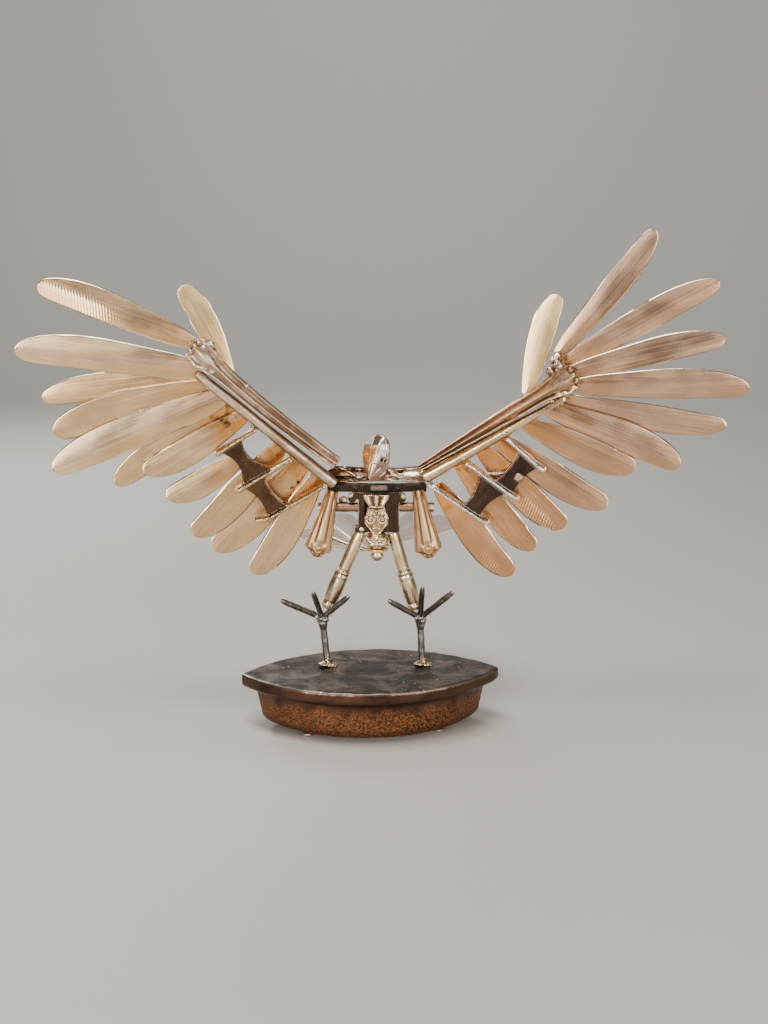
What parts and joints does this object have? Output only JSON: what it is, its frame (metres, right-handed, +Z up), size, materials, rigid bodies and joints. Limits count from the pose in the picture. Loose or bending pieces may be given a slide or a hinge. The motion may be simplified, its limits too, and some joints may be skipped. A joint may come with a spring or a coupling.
{
  "type": "metal hawk sculpture",
  "caption": "Welded hawk with raised wings made of knife blades and cutlery handles, standing on nail legs on an upturned cast flat iron.",
  "frame": {"origin": "on the floor under the middle of the whole bird, wings and tail included", "axes": "+Z up, the bird faces -Y, the wings spread along X, left is the viewer's left (-X)"},
  "size_m": [0.4554, 0.1818, 0.321],
  "materials": {
    "blade_silver": "worn satin, warm silver with faint scratches",
    "blade_copper": "worn satin, copper tan with heat stains",
    "handle_silver": "polished cast relief with brown in the hollows",
    "handle_copper": "polished cast relief, bronze tan with brown in the hollows",
    "brass": "polished, tarnished in the hollows",
    "dark_bronze": "dark bronze, polished edges",
    "dark_steel": "dark steel with bright weld beads",
    "cast_iron": "rust-brown casting with a scuffed dark top",
    "stud_metal": "pale worn metal"
  },
  "bodies": {
    "root": {"flat_iron_base": "cast_iron", "base_stud_front_left": "stud_metal", "base_stud_back_left": "stud_metal", "base_stud_front_right": "stud_metal", "base_stud_back_right": "stud_metal", "left_foot": "dark_steel", "right_foot": "dark_steel", "left_thigh": "brass", "left_shin": "brass", "right_thigh": "brass", "right_shin": "brass", "shoulder_yoke": "handle_silver", "shoulder_plate": "dark_steel", "body_frame": "dark_bronze", "left_stub_rod": "dark_bronze", "right_stub_rod": "dark_bronze", "breast_shield": "brass", "hip_collar": "handle_silver", "tail_knob": "brass", "head": "handle_copper", "left_hanging_handle": "handle_copper", "right_hanging_handle": "handle_copper", "tail_feather_left_outer": "blade_silver", "tail_feather_left_middle": "blade_silver", "tail_feather_left_inner": "blade_silver", "tail_feather_right_inner": "blade_silver", "tail_feather_right_middle": "blade_silver", "tail_feather_right_outer": "blade_silver", "left_lower_arm_bar": "handle_silver", "left_arm_handle": "handle_silver", "left_wing_bracket": "dark_bronze", "left_feather_1": "blade_silver", "left_feather_2": "blade_silver", "left_feather_3": "blade_silver", "left_feather_4": "blade_silver", "left_feather_5": "blade_silver", "left_feather_6": "blade_silver", "left_feather_7": "blade_silver", "left_feather_8": "blade_silver", "left_feather_9": "blade_silver", "left_feather_10": "blade_silver", "left_feather_11": "blade_silver", "left_thumb_feather": "blade_silver", "right_lower_arm_bar": "brass", "right_arm_handle": "handle_copper", "bracket_screw": "handle_silver", "right_wing_bracket": "dark_bronze", "right_feather_1": "blade_copper", "right_feather_2": "blade_copper", "right_feather_3": "blade_copper", "right_feather_4": "blade_copper", "right_feather_5": "blade_copper", "right_feather_6": "blade_copper", "right_feather_7": "blade_copper", "right_feather_8": "blade_copper", "right_feather_9": "blade_copper", "right_feather_10": "blade_copper", "right_feather_11": "blade_copper", "right_thumb_feather": "blade_copper"}
  },
  "joints": []
}
